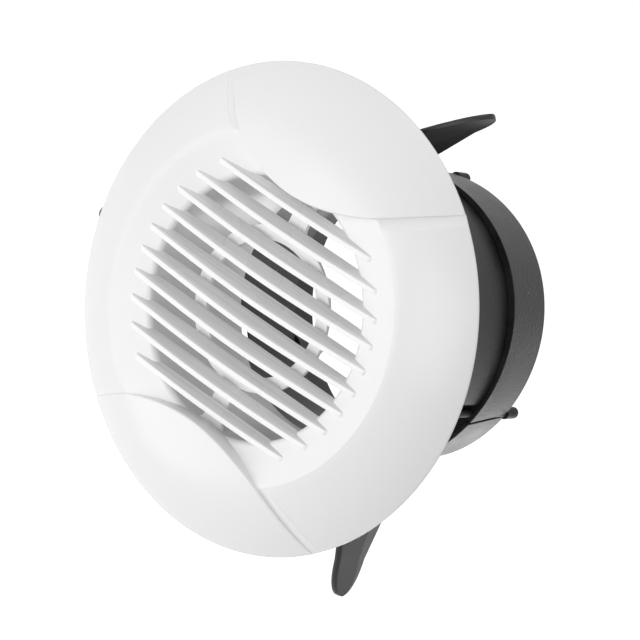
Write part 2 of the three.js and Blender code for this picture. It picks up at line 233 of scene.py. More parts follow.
def plate(outer, inner, solid=None, wraps=False):
    """Closed plate between two grids of points of the same shape, walled round its border and round the
    cells that are not solid. With wraps, the last row is joined to the first."""
    rows, columns = outer.shape[:2]
    index = np.arange(rows * columns).reshape(rows, columns)
    if wraps:
        index = np.vstack([index, index[:1]])
    if solid is None:
        solid = np.ones((len(index) - 1, columns - 1), bool)
    beyond = np.zeros_like(solid[:1])
    before, after = (solid[-1:], beyond) if wraps else (beyond, beyond)
    row_walls = np.vstack([before, solid]) != np.vstack([solid, after])
    if wraps:
        row_walls[-1] = False
    padded = np.pad(solid, ((0, 0), (1, 1)))
    column_walls = padded[:, 1:] != padded[:, :-1]
    other = index + rows * columns
    faces = np.concatenate([
        np.stack([grid[:-1, :-1], grid[1:, :-1], grid[1:, 1:], grid[:-1, 1:]], axis=-1)[solid]
        for grid in (index, other)] + [
        np.stack([index[:-1], index[1:], other[1:], other[:-1]], axis=-1)[column_walls],
        np.stack([index[:, :-1], index[:, 1:], other[:, 1:], other[:, :-1]], axis=-1)[row_walls]])
    used, faces = np.unique(faces, return_inverse=True)
    return np.vstack([outer.reshape(-1, 3), inner.reshape(-1, 3)])[used], faces.reshape(-1, 4).tolist()


def polar_points(radius, bearing, depth):
    """Points from arrays of radius, bearing in degrees and depth, which broadcast together."""
    radius, bearing, depth = np.broadcast_arrays(radius, np.radians(bearing), depth)
    return np.stack([radius * np.sin(bearing), depth, radius * np.cos(bearing)], axis=-1)


def turned(profile, segments):
    """Closed ring: a closed profile of (radius, y) pairs carried round the duct axis."""
    radius, depth = np.array(profile, float).T[:, :, None]
    bearing = np.linspace(0, 360, segments, endpoint=False)
    return surface(polar_points(radius, bearing, depth), close_columns=True, close_rows=True)


def around(radius, degrees):
    """Point (x, z) on a circle round the duct axis."""
    return radius * math.sin(math.radians(degrees)), radius * math.cos(math.radians(degrees))


def finished_piece(work, name, material, body, stands_for):
    """One object from a bmesh, which it frees: smooth except at its sharper edges."""
    mesh = bpy.data.meshes.new(name)
    work.to_mesh(mesh)
    work.free()
    mesh.polygons.foreach_set("use_smooth", np.ones(len(mesh.polygons), bool))
    mesh.set_sharp_from_angle(angle=math.radians(crisp_angle))
    mesh.materials.append(material)
    piece = bpy.data.objects.new(name, mesh)
    scene.collection.objects.link(piece)
    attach(piece, body)
    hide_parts(*stands_for)
    return piece


def make_piece(name, shells, material, body, stands_for):
    """One object of closed shells, with doubled points merged and faces turned outwards."""
    work = bmesh.new()
    for points, faces in shells:
        before = len(work.verts)
        loose = bpy.data.meshes.new("shell")
        loose.from_pydata((np.asarray(points) * MM).tolist(), [], faces)
        work.from_mesh(loose)
        bpy.data.meshes.remove(loose)
        work.verts.ensure_lookup_table()
        bmesh.ops.remove_doubles(work, verts=work.verts[before:], dist=2e-6)
    bmesh.ops.recalc_face_normals(work, faces=work.faces)
    return finished_piece(work, name, material, body, stands_for)


# the skin that a moulded plastic takes from its tool: fine grain, broad faint patches, rare specks
mould_skin = bpy.data.node_groups.new("mould_skin", "ShaderNodeTree")
for label, default in (
        ("Grain Scale", 900), ("Patch Scale", 30), ("Speck Scale", 140), ("Speck Size", 0.06)):
    mould_skin.interface.new_socket(
        label, in_out="INPUT", socket_type="NodeSocketFloat").default_value = default
for label in ("Grain", "Patches", "Specks"):
    mould_skin.interface.new_socket(label, in_out="OUTPUT", socket_type="NodeSocketFloat")
skin_in = add_node(mould_skin, "NodeGroupInput")
skin_place = add_node(mould_skin, "ShaderNodeTexCoord")["Object"]
skin_grain = add_node(mould_skin, "ShaderNodeTexNoise", {
    "Vector": skin_place, "Scale": skin_in["Grain Scale"], "Detail": 3})
skin_patch = add_node(mould_skin, "ShaderNodeTexNoise", {
    "Vector": skin_place, "Scale": skin_in["Patch Scale"], "Detail": 4, "Distortion": 0.6})
skin_spread = add_node(mould_skin, "ShaderNodeMapRange", {
    "Value": skin_patch["Fac"], "From Min": 0.2, "From Max": 0.8}, interpolation_type="SMOOTHSTEP")
skin_cells = add_node(mould_skin, "ShaderNodeTexVoronoi", {
    "Vector": skin_place, "Scale": skin_in["Speck Scale"]})
skin_speck = add_node(mould_skin, "ShaderNodeMath", {
    0: skin_cells["Distance"], 1: skin_in["Speck Size"]}, operation="LESS_THAN")
add_node(mould_skin, "NodeGroupOutput", {
    "Grain": skin_grain["Fac"], "Patches": skin_spread["Result"], "Specks": skin_speck[0]})


def skinned_material(name, pale, deep, roughness, glossed_by, grain_scale, grain_height, patch_scale,
                     speck_size):
    """Material with the mould skin: two tones by patches, a roughness that one of the skin's outputs
    varies between a lowest and a highest, and a bump from the grain."""
    material = bpy.data.materials.new(name)
    material.use_nodes = True
    tree, shader = material.node_tree, material.node_tree.nodes["Principled BSDF"]
    skin = add_node(tree, "ShaderNodeGroup", {
        "Grain Scale": grain_scale, "Patch Scale": patch_scale, "Speck Size": speck_size},
        node_tree=mould_skin)
    tones = add_node(tree, "ShaderNodeMix", {
        "Factor": skin["Patches"], "A": (*deep, 1), "B": (*pale, 1)}, data_type="RGBA")
    gloss = add_node(tree, "ShaderNodeMapRange", {
        "Value": skin[glossed_by], "To Min": roughness[0], "To Max": roughness[1]})
    bump = add_node(tree, "ShaderNodeBump", {
        "Strength": 1, "Distance": grain_height * MM, "Height": skin["Grain"]})
    feed(shader, {"Base Color": tones["Result"], "Roughness": gloss["Result"], "Normal": bump["Normal"]})
    return material, shader, skin


def mix_in(shader, factor, colour, blend="MIX"):
    """Mix a colour, by a factor's output, into what already feeds a shader's Base Color."""
    mix = add_node(shader.id_data, "ShaderNodeMix", {
        "Factor": factor, "A": shader.inputs["Base Color"].links[0].from_socket, "B": colour},
        data_type="RGBA", blend_type=blend)
    feed(shader, {"Base Color": mix["Result"]})


def moulded_plastic(name, pale, deep, speck, roughness, grain_scale, grain_height, patch_scale, speck_size,
                    shine=0.5):
    """Moulded plastic: skinned, with a few specks in a tone of their own and a gloss that follows the
    patches."""
    material, shader, skin = skinned_material(
        name, pale, deep, roughness, "Patches", grain_scale, grain_height, patch_scale, speck_size)
    mix_in(shader, skin["Specks"], (*speck, 1))
    feed(shader, {"Specular IOR Level": shine})
    return material


white_plastic = moulded_plastic(
    "glossy_white_abs", pale=(0.832, 0.832, 0.836), deep=(0.824, 0.824, 0.829), speck=(0.78, 0.78, 0.785),
    roughness=(0.25, 0.27), grain_scale=500, grain_height=0.002, patch_scale=22, speck_size=0.02)


def dome_height(radius):
    """Height of the eyelid panels over the back plane: a dome that is flat in the middle and steeper
    towards the edge, rise times one minus a power of the share of the radius."""
    return rim_edge + dome_rise * (1 - (radius / face_radius) ** dome_power)


def side_drop(radius):
    """How far the side fields lie under the panels: a step, times one minus a power of the share of the
    radius, so that it fades to nothing at the rim."""
    return side_step * (1 - (radius / face_radius) ** side_power)


def soft_lower(first, second, width):
    """The lower of two heights, with the ridge where they cross rounded over a height of width."""
    closeness = np.maximum(width - np.abs(first - second), 0)
    return np.minimum(first, second) - closeness ** 2 / (4 * width)


def edge_roll(inward, rounding):
    """Drop of a rounded edge: a quarter circle of the given radius, inward being the distance from
    the edge, and nothing further in."""
    share = np.clip(1 - inward / rounding, 0, 1)
    return rounding * (1 - np.sqrt(1 - share ** 2))


def crowded(count):
    """Shares from 0 to 1, crowded at the start: one minus the cosine along a quarter circle."""
    return 1 - np.cos(np.linspace(0, 1, count) * math.pi / 2)


def smooth_step(share):
    """Smooth rise from 0 to 1 as the share does: three times its square less twice its cube."""
    share = np.clip(share, 0, 1)
    return share * share * (3 - 2 * share)


def lip_line(x):
    """Height z of the upper panel's lip: a shallow parabola that flattens towards its corners."""
    return lip_height + lip_curve * x ** 2 - lip_flattening * x ** 4


lip_corner = np.array([lip_half, lip_line(lip_half)])
crease_end = np.array(around(face_radius, crease_rim_angle))
crease_along = (crease_end - lip_corner) / np.linalg.norm(crease_end - lip_corner)
crease_across = np.array([crease_along[1], -crease_along[0]])
crease_offset = float(lip_corner @ crease_across)
crease_bearing = math.degrees(math.atan2(crease_across[0], crease_across[1])) % 360


def crease_distance(x, z):
    """Distance from the nearest crease line, positive on the side field and negative under a panel."""
    return np.abs(x) * crease_across[0] + np.abs(z) * crease_across[1] - crease_offset


def bevel_height(radius):
    """Height of the slope from the opening's edge up to the crest."""
    crest_height = dome_height(crest_radius) - side_drop(crest_radius)
    return opening_height + (crest_height - opening_height) * (radius - opening_radius) / (
        crest_radius - opening_radius)


def groove_at(radius, distance):
    """How far the valley beside a crease lies under the side field: deepest at the crease, rising to
    nothing at the groove's width, shallower towards the rim, and absent inside the crest."""
    depth = groove_depth_at_rim + (groove_depth - groove_depth_at_rim) * (
        1 - (radius / face_radius) ** groove_fade_power)
    depth = depth * smooth_step((radius - crest_radius + 1) / groove_run_in)
    slope = 1 - np.maximum(distance, -groove_hidden * groove_width) / groove_width
    return -soft_lower(np.zeros_like(slope), -slope, groove_rounding) * depth


def edge_bead(distance, share):
    """Fine raised line along an edge: a bell curve of the distance from it, times a share of its height."""
    return share * edge_bead_height * np.exp(-(distance / edge_bead_width) ** 2)


def field_height(radius, distance):
    """Height of the side fields, crest and slope, with the valleys along the creases and a fine bead
    along the crest and beyond each valley."""
    field = soft_lower(dome_height(radius) - side_drop(radius), bevel_height(radius), crest_rounding)
    begun = np.clip((radius - crest_radius - 1) / bead_run_in, 0, 1)
    ended = np.clip((face_radius - radius) / bead_run_out, 0, 1)
    field = field + edge_bead(distance - groove_bead_place, begun * ended)
    field = field + edge_bead(radius - crest_radius, crest_bead_share)
    return field - groove_at(radius, distance) - edge_roll(face_radius - radius, rim_rounding)


def ring_bearings(radii):
    """Bearings of the columns at each radius. In each quadrant the columns near the crease keep their
    distance from it at every radius, and the rest are spread evenly between them and the quadrant's ends."""
    from_crease = np.array([-4.0, 0.0, 5.0])
    innermost = 45.0          # inside this radius the columns keep their bearings

    def bearing(radius):
        """Bearings of the columns beside the first quadrant's crease, at a radius."""
        return crease_bearing - np.degrees(np.arccos((from_crease + crease_offset) / radius))

    at_rim = np.concatenate([[0], bearing(face_radius), [90]])
    counts = (22, 9, 26, 36)
    quarter = np.concatenate(
        [np.linspace(a, b, n, endpoint=False) for a, b, n in zip(at_rim[:-1], at_rim[1:], counts)])
    rows = []
    for radius in radii:
        here = np.concatenate([[0], bearing(max(radius, innermost)), [90]])
        first = np.interp(quarter, at_rim, here)
        mirrored = 180 - np.interp(np.append(quarter[1:], 90), at_rim, here)[::-1]
        half = np.concatenate([first, mirrored])
        rows.append(np.concatenate([half, half + 180]))
    return np.radians(np.array(rows))


front_radii = np.concatenate([
    face_radius - rim_rounding * crowded(6),
    np.linspace(face_radius - rim_rounding - 0.2, crest_radius + 2, 40),
    np.linspace(crest_radius + 1.8, crest_radius - 1.8, 19),
    np.linspace(crest_radius - 2.2, spigot_inner + opening_rounding, 12)])
roll = np.linspace(0, 1, 10)[1:] * math.pi / 2
rim_inner = face_radius - rim_land
hollow_radii = np.linspace(crest_radius + 1, rim_inner - 0.4, 14)
hollow_heights = dome_height(hollow_radii) - side_drop(hollow_radii) - face_wall
# the back's rows in order: the opening's rolled edge, down the inside of the spigot, round its end and
# up its outside, the hollow behind the fields, and out across the flat ring to the rim
inner_rows = np.array(
    [(spigot_inner + opening_rounding * (1 - math.sin(a)),
      -bevel_height(spigot_inner + opening_rounding) + opening_rounding * (1 - math.cos(a))) for a in roll]
    + [(spigot_inner, -4), (spigot_inner, 8), (spigot_inner, 22), (spigot_inner, spigot_depth - 0.5)]
    + [(spigot_inner + 0.15, spigot_depth - 0.12), (spigot_inner + 0.5, spigot_depth)]
    + [(spigot_outer - 0.5, spigot_depth), (spigot_outer - 0.15, spigot_depth - 0.12)]
    + [(spigot_outer, spigot_depth - 0.5), (spigot_outer, 15), (spigot_outer, 0)]
    + [(spigot_outer, -opening_height + face_wall + 1),
       (spigot_outer + 1, -opening_height + face_wall - 0.1)]
    + [(crest_radius - 1, -hollow_heights[0] + 0.1)]
    + list(zip(hollow_radii, -hollow_heights))
    + [(rim_inner, -hollow_heights[-1] + 0.6), (rim_inner, -0.15), (rim_inner + 0.15, 0)]
    + [(face_radius - 0.45, 0), (face_radius - 0.15, -0.04)])
disc_radii = np.concatenate([front_radii, inner_rows[:, 0]])
disc_bearings = ring_bearings(disc_radii)
disc_x = disc_radii[:, None] * np.sin(disc_bearings)
disc_z = disc_radii[:, None] * np.cos(disc_bearings)
front_count = len(front_radii)
disc_depths = np.concatenate([np.zeros(front_count), inner_rows[:, 1]])
disc_y = np.repeat(disc_depths[:, None], disc_x.shape[1], axis=1)
front_distance = crease_distance(disc_x[:front_count], disc_z[:front_count])
disc_y[:front_count] = -field_height(front_radii[:, None], front_distance)
under_panel = np.clip(-crease_distance(disc_x, disc_z), 0, 1) * (disc_radii[:, None] > rim_tuck_from)
tuck = 1 - rim_tuck / face_radius * under_panel
disc = surface(
    np.stack([disc_x * tuck, disc_y, disc_z * tuck], axis=-1), close_columns=True, close_rows=True)


def eyelid(side):
    """Closed shell of one panel, side 1 above and -1 below: rows run from the lip to the rim, columns
    from crease to crease, and the edges along lip, creases and rim are rolled over."""
    across = np.concatenate([
        -1 + 0.06 * crowded(12), np.linspace(-0.93, 0.93, 72), 1 - 0.06 * crowded(12)[::-1]])
    out = np.concatenate([
        0.04 * crowded(12), np.linspace(0.055, 0.97, 44), 1 - 0.02 * crowded(10)[::-1]])[:, None]
    lip_x = lip_half * across
    rim_bearing = np.radians(crease_rim_angle * across)
    x = (1 - out) * lip_x + out * face_radius * np.sin(rim_bearing)
    z = (1 - out) * lip_line(lip_x) + out * face_radius * np.cos(rim_bearing)
    radius = np.minimum(np.hypot(x, z), face_radius)
    lip_slope = 2 * lip_curve * x - 4 * lip_flattening * x ** 3
    from_lip = (z - lip_line(x)) * np.cos(np.arctan(lip_slope))
    from_crease = -crease_distance(x, z)
    step = side_drop(radius) + groove_at(radius, np.zeros_like(radius))
    rounding = np.clip(panel_edge_share * step, 0.05, panel_edge_rounding)
    nearness = np.hypot(np.clip(1 - from_lip / rounding, 0, 1), np.clip(1 - from_crease / rounding, 0, 1))
    drop = rounding * (1 - np.sqrt(1 - np.clip(nearness, 0, 1) ** 2))
    top = -(dome_height(radius) - edge_roll(face_radius - radius, rim_rounding)) + drop
    under = np.where(
        radius > opening_radius,
        -field_height(radius, -np.full_like(radius, groove_hidden * groove_width)) + panel_gap,
        -opening_height + panel_gap)
    under = np.maximum(np.minimum(under, -0.03), top + 0.02)
    return plate(np.stack([x, top, side * z], axis=-1), np.stack([x, under, side * z], axis=-1))


def turned_bar(profile, place=(0, 0), segments=40):
    """Solid of revolution along Y at a place, from (radius, y) pairs between two flat ends."""
    radius, depth = np.array(profile, float).T[:, :, None]
    rings = polar_points(radius, np.linspace(0, 360, segments, endpoint=False), depth)
    return bar_of_rings(rings + np.array([place[0], 0, place[1]]))


def screw_boss(angle):
    """Post from the inside of the disc to the back plane, flared where it leaves the disc."""
    profile = [(boss_radius + wider, y) for wider, y in (
        (1.2, -10.4), (0.5, -9.6), (0.1, -8.6), (0, -7.5), (-0.1, -0.4), (-0.4, -0.05))]
    return turned_bar(profile, around(boss_circle, angle), 32)


make_piece("face_moulding", [disc, eyelid(1), eyelid(-1)] + [screw_boss(angle) for angle in boss_angles],
           white_plastic, "vent", ["face_grille"])

# ---------------------------------------------------------------- louvres, ring and ribs
# Ten fixed slats, moulded with the face: they rise towards the duct, bow forward in the middle and
# die out on the slope round the opening. A thin ring and two ribs tie them together from behind.
louvre_count = 10
louvre_pitch = 7.7
louvre_half_thickness = 0.85
louvre_corner = 0.25
louvre_level = 12.4           # height over the back plane at which a slat is at its own row
louvre_middle_height = 15.0
louvre_bow, louvre_bow_power = 2.2, 1.5
louvre_tip_radius = 48.2
louvre_tip_stand = 0.55       # of the tips above the slope that they end on
louvre_tip_rounding = 1.3
louvre_tip_sink = 0.6         # of the tips' ends under the slope
louvre_root_sink = 1.6        # of the rear edge in the face's wall, outside the spigot
louvre_root_lap = 0.5         # that the straight rear edge reaches into the spigot's wall
louvre_slope_limit = 13.4
louvre_rise = math.tan(math.radians(28))
louvre_rear = 9.7
ring_inner, ring_outer = 21.45, 26.2
ring_front, ring_back, ring_corner = 7.4, 5.8, 0.3
rib_half_width, rib_corner = 3.5, 0.25
rib_set_back = 0.05           # of a rib's faces behind the ring's
rib_flare = 2.0               # by which a rib widens on each side where it meets the ring or spigot
web_height = 0.8
web_lap = 0.4                 # that a web reaches into the ring or rib, and keeps from their sides
web_slat_lap = 0.5            # that it reaches into its slat
streak_scale = (18, 1400, 1400)
shade_streak_from, shade_streak_full = 0.55, 0.85      # how far upwards a face looks to carry tool streaks and painted shade

# The slats, ring and ribs take the face's white ABS in a paler tone than the face: painted light that keeps
# the ring bright where the slats shade it.
lightened_slat_plastic = moulded_plastic(
    "lightened_white_abs_with_shaded_streaks", pale=(0.889, 0.889, 0.891), deep=(0.881, 0.881, 0.884), speck=(0.83, 0.83, 0.835),
    roughness=(0.22, 0.34), grain_scale=500, grain_height=0.002, patch_scale=22, speck_size=0.02)
slat_tree = lightened_slat_plastic.node_tree
slat_place = add_node(slat_tree, "ShaderNodeTexCoord")["Object"]
slat_stretch = add_node(slat_tree, "ShaderNodeMapping", {"Vector": slat_place, "Scale": streak_scale})
slat_streaks = add_node(slat_tree, "ShaderNodeTexNoise", {
    "Vector": slat_stretch["Vector"], "Scale": 1, "Detail": 4})
# Tool streaks multiplied into the colour, darkening by up to a third and only on faces that look upwards:
# real streaks plus painted shade on the slats' upper faces.
slat_streak_and_shade_tones = add_node(slat_tree, "ShaderNodeMix", {
    "Factor": slat_streaks["Fac"], "A": (0.655, 0.652, 0.655, 1), "B": (0.983, 0.983, 0.983, 1)},
    data_type="RGBA")
slat_facing = add_node(slat_tree, "ShaderNodeNewGeometry")["Normal"]
slat_upward = add_node(slat_tree, "ShaderNodeSeparateXYZ", {"Vector": slat_facing})["Z"]
slat_streaked_and_shaded_share = add_node(slat_tree, "ShaderNodeMapRange", {
    "Value": slat_upward, "From Min": shade_streak_from, "From Max": shade_streak_full},
    interpolation_type="SMOOTHSTEP")
mix_in(slat_tree.nodes["Principled BSDF"], slat_streaked_and_shaded_share["Result"], slat_streak_and_shade_tones["Result"], "MULTIPLY")


def louvre(z):
    """Slat as sections in the y, z plane along x, each with a flat front edge between small rounded
    corners. The front edge follows a shallow arch and rolls down into the slope at the tips; the
    rear edge is straight across the opening and stops inside the face's wall past it."""
    tip = math.sqrt(louvre_tip_radius ** 2 - z ** 2)
    x = (tip * np.sin(np.linspace(-1, 1, 81) * math.pi / 2))[:, None]
    radius = np.minimum(np.hypot(x, z), louvre_tip_radius)
    slope = np.minimum(bevel_height(radius), louvre_slope_limit)
    front = louvre_middle_height - louvre_bow * (radius / louvre_tip_radius) ** louvre_bow_power
    front = np.maximum(front, slope + louvre_tip_stand)
    to_tip = (louvre_tip_radius - radius) / louvre_tip_rounding
    fade = np.sqrt(1 - np.clip(1 - to_tip, 0, 1) ** 2)
    front = slope - louvre_tip_sink + (front - slope + louvre_tip_sink) * fade
    rear_z = z + louvre_rise * (louvre_level - louvre_rear)
    inside = np.hypot(x, rear_z) < spigot_inner + louvre_root_lap
    rear = np.where(inside, louvre_rear, slope - louvre_root_sink)
    half, corner = louvre_half_thickness, louvre_corner
    bend = np.linspace(0, math.pi / 2, 5)
    near_edge = corner * (1 - np.cos(bend))
    length = front - rear
    along = np.hstack([
        np.broadcast_to(near_edge, (len(x), 5)),
        corner + (length - 2 * corner) * np.array([0.33, 0.66]), length - near_edge[::-1]])
    at_edge = half - corner + corner * np.sin(bend)
    thick = np.concatenate([at_edge, [half, half], at_edge[::-1]])
    y = along - front
    middle = z + louvre_rise * (y + louvre_level)
    x_all = np.broadcast_to(x, y.shape)
    upper = np.stack([x_all, y, middle + thick], axis=-1)
    lower = np.stack([x_all, y, middle - thick], axis=-1)
    return bar_of_rings(np.concatenate([upper, lower[:, ::-1]], axis=1))


def rounded_box_profile(low_r, high_r, front, back, corner):
    """Closed rectangle in (radius, y) with a quarter circle at each corner."""
    arc = np.linspace(-math.pi / 2, 0, 4)
    centres = [(high_r - corner, front + corner), (high_r - corner, back - corner),
               (low_r + corner, back - corner), (low_r + corner, front + corner)]
    return [(r + corner * math.cos(a), y + corner * math.sin(a))
            for quarter, (r, y) in enumerate(centres) for a in arc + quarter * math.pi / 2]


def rib(side):
    """Strut from the ring to the spigot, above or below, flared where it meets them."""
    out = np.linspace(ring_outer - 2, spigot_inner + 0.7, 25)
    at_ring, at_spigot = np.exp(ring_outer - out).clip(0, 1), np.exp((out - spigot_inner) / 1.2)
    half = rib_half_width + rib_flare * (at_ring + at_spigot)
    front, back = rib_set_back - ring_front, -ring_back - rib_set_back
    profile = np.array(rounded_box_profile(-1, 1, front, back, rib_corner))
    widths = np.sign(profile[:, 0]) * (half[:, None] - (1 - np.abs(profile[:, 0])))
    return bar_of_rings(np.stack(np.broadcast_arrays(widths, profile[:, 1], side * out[:, None]), axis=-1))


def webs(z):
    """Small flat webs that carry a slat's rear edge on the ring or on a rib, one for each crossing."""
    low = z + louvre_rise * (louvre_level - louvre_rear) - louvre_half_thickness
    middle = abs(low + web_height / 2)
    if middle > ring_outer:
        spans = [(-rib_half_width, rib_half_width)]
    else:
        outer = math.sqrt(ring_outer ** 2 - middle ** 2)
        inner = math.sqrt(max(ring_inner ** 2 - middle ** 2, 0))
        spans = [(-outer, -inner), (inner, outer)] if inner > 0 else [(-outer, outer)]
    return [bar_of_rings(np.array([
        [(x, y, level) for y, level in (
            (-louvre_rear - web_slat_lap, low), (-louvre_rear - web_slat_lap, low + web_height),
            (-ring_front + web_lap, low + web_height), (-ring_front + web_lap, low))]
        for x in (start + web_lap, end - web_lap)], float)) for start, end in spans]


louvre_rows = louvre_pitch * (np.arange(louvre_count) - (louvre_count - 1) / 2)
ring_profile = rounded_box_profile(ring_inner, ring_outer, -ring_front, -ring_back, ring_corner)
make_piece("louvre_grille", [louvre(z) for z in louvre_rows] + sum([webs(z) for z in louvre_rows], [])
           + [turned(ring_profile, 160), rib(1), rib(-1)],
           lightened_slat_plastic, "vent", ["face_grille"])

# ---------------------------------------------------------------- collar
# Black ABS sleeve that slides over the spigot, with a flange behind the face. Each hinge has a window
# for the wing's knuckle, a recess behind it for the pin, and a small stop peg. Its skin is finely matt.
hinge_angles = (-13, 107, 227)
hinge_radius = 45.2
collar_inner, collar_outer = 43.0, 46.0
collar_front, collar_depth = 0.3, 65.6
flange_radius, flange_back = 56.0, 2.8
window_before, window_after, window_rear = 5.5, 13.5, 41.0
recess_floor, recess_rear = 43.5, 61.0
peg_radius, peg_reach, peg_end, peg_chamfer = 1.5, 6.5, 8.8, 0.2
wing_leans = (60, 62.5, 63)
wing_half_thickness = 0.9
seat_gap = 0.3
bevel_steps, bevel_from = 2, 40      # edges sharper than this many degrees are bevelled

black_plastic = moulded_plastic(
    "satin_black_abs", pale=(0.032, 0.032, 0.033), deep=(0.016, 0.016, 0.017), speck=(0.11, 0.11, 0.11),
    roughness=(0.34, 0.48), grain_scale=1100, grain_height=0.15, patch_scale=90, speck_size=0.075,
    shine=0.32)


def round_edges(piece, width):
    """Bevel on every sharper edge, as a moulding's corners are never quite sharp."""
    bevel = piece.modifiers.new("rounded_edges", "BEVEL")
    bevel.width = width * MM
    bevel.segments = bevel_steps
    bevel.limit_method = "ANGLE"
    bevel.angle_limit = math.radians(bevel_from)
    bevel.harden_normals = True


def stop_peg(angle, lean):
    """Peg on the flange, on the side that the open blade leans towards."""
    hinge = around(hinge_radius, angle)
    heading = math.radians(angle + lean)
    aside = wing_half_thickness + seat_gap + peg_radius
    x = hinge[0] + peg_reach * math.sin(heading) - aside * math.cos(heading)
    z = hinge[1] + peg_reach * math.cos(heading) + aside * math.sin(heading)
    profile = [(peg_radius, flange_back - 0.5), (peg_radius, peg_end - peg_chamfer),
               (peg_radius - peg_chamfer, peg_end)]
    return turned_bar(profile, (x, z), 24)


upright = 0.02                # width of the grid cells that make the recesses' upright walls
window_columns, wall_columns = 10, 60
collar_bearings = np.concatenate([
    [angle - window_before,
     *np.linspace(angle - window_before + upright, angle + window_after - upright, window_columns - 1),
     *np.linspace(angle + window_after, angle - window_before + 120, wall_columns, endpoint=False)]
    for angle in hinge_angles])
collar_depths = np.array([
    flange_back - 0.4, flange_back, 20, window_rear, recess_rear, recess_rear + upright, collar_depth])
column = np.arange(window_columns + wall_columns)
in_window = np.tile(column < window_columns, 3)[:, None]
collar_solid = ~(in_window & (collar_depths[:-1] >= flange_back) & (collar_depths[1:] <= window_rear))
in_recess = np.tile((column > 0) & (column < window_columns), 3)[:, None]
recessed = in_recess & (collar_depths >= window_rear) & (collar_depths <= recess_rear)
collar_skin = np.where(recessed, recess_floor, collar_outer)
collar_wall = plate(
    polar_points(collar_skin, collar_bearings[:, None], collar_depths[None, :]),
    polar_points(collar_inner, collar_bearings[:, None], collar_depths[None, :]), collar_solid, wraps=True)
flange = turned([(collar_inner, collar_front), (flange_radius, collar_front), (flange_radius, flange_back),
                 (collar_inner, flange_back)], 210)
collar = make_piece(
    "collar", [collar_wall, flange] + [stop_peg(a, lean) for a, lean in zip(hinge_angles, wing_leans)],
    black_plastic, "vent", ["collar_sleeve"])
round_edges(collar, 0.3)

# ---------------------------------------------------------------- rear band
# Separate black ABS band pushed over the collar's end until its inner shoulder stops it. It is slit
# beside each hinge pin, so that it can spring, and it stands out a little between the slits.
band_front, band_rear = 60.3, 79.3
band_front_radius, band_rear_radius = 48.5, 47.2
band_wall = 1.4
band_front_inner = 46.2       # in front of the shoulder, where it just clears the collar
band_mean_lobe, band_lobe = -0.15, 0.65
shoulder_front, shoulder_back, shoulder_inner = 65.9, 67.9, 44.0
slit_width, slit_offset, slit_slant = 0.9, 1.35, 7
band_columns = 84             # between two slits
boss_round, boss_reach = 3.6, 46.3

band_plastic = moulded_plastic(
    "satin_black_band", pale=(0.031, 0.031, 0.032), deep=(0.015, 0.015, 0.016), speck=(0.10, 0.10, 0.10),
    roughness=(0.32, 0.46), grain_scale=1100, grain_height=0.15, patch_scale=90, speck_size=0.06, shine=0.32)


def slit_edges(depth):
    """Bearings of the two sides of each slit at a depth; the slits run slightly across the band."""
    aside = slit_offset - math.tan(math.radians(slit_slant)) * (depth - (band_front + band_rear) / 2)
    half = slit_width / 2 / math.cos(math.radians(slit_slant))
    return [(angle + math.degrees((aside - half) / band_rear_radius),
             angle + math.degrees((aside + half) / band_rear_radius)) for angle in hinge_angles]


def lobes(bearing):
    """How far the band stands out from round at a bearing: a cosine with its peaks between slits."""
    return band_mean_lobe + band_lobe * np.cos(np.radians(3 * (bearing - hinge_angles[0] - 60)))


def band_column_bearings(depth):
    """Bearings of the band's columns at a depth: one across each slit and even steps between slits."""
    edges = slit_edges(depth)
    columns = []
    for i, (start, end) in enumerate(edges):
        following = edges[(i + 1) % 3][0] + (360 if i == 2 else 0)
        columns += [[start], np.linspace(end, following, band_columns, endpoint=False)]
    return np.concatenate(columns)


band_depths = np.linspace(band_front, band_rear, 9)
band_bearings = np.array([band_column_bearings(depth) for depth in band_depths]).T
band_taper = np.interp(band_depths, [band_front, band_rear], [band_front_radius, band_rear_radius])
band_outer = band_taper + lobes(band_bearings)
band_inner = np.where(band_depths < shoulder_front, band_front_inner, band_outer - band_wall)
band_solid = np.ones((len(band_bearings), len(band_depths) - 1), bool)
band_solid[::band_columns + 1] = False
band_skin = plate(polar_points(band_outer, band_bearings, band_depths),
                  polar_points(band_inner, band_bearings, band_depths), band_solid, wraps=True)
shoulder_bearings = np.linspace(0, 360, 252, endpoint=False)
shoulder_outer = band_rear_radius - 0.2 + lobes(shoulder_bearings)
shoulder = surface(np.array([
    polar_points(radius, shoulder_bearings, depth) for radius, depth in (
        (shoulder_inner, shoulder_front), (shoulder_outer, shoulder_front),
        (shoulder_outer, shoulder_back), (shoulder_inner, shoulder_back))]),
    close_columns=True, close_rows=True)


def pin_boss(angle):
    """Boss round a pin inside the band, its outer side cut off under the band's wall."""
    bearing = np.linspace(0, 2 * math.pi, 40, endpoint=False)
    x, z = around(hinge_radius, angle)
    x, z = x + boss_round * np.sin(bearing), z + boss_round * np.cos(bearing)
    limit = np.minimum(1, boss_reach / np.hypot(x, z))
    rings = [np.stack([x * limit, np.full(40, depth), z * limit], axis=-1)
             for depth in (shoulder_front + 0.1, band_rear - 0.15)]
    return bar_of_rings(np.array(rings))


band = make_piece("band", [band_skin, shoulder] + [pin_boss(angle) for angle in hinge_angles],
                  band_plastic, "vent", ["rear_band"])
round_edges(band, 0.4)

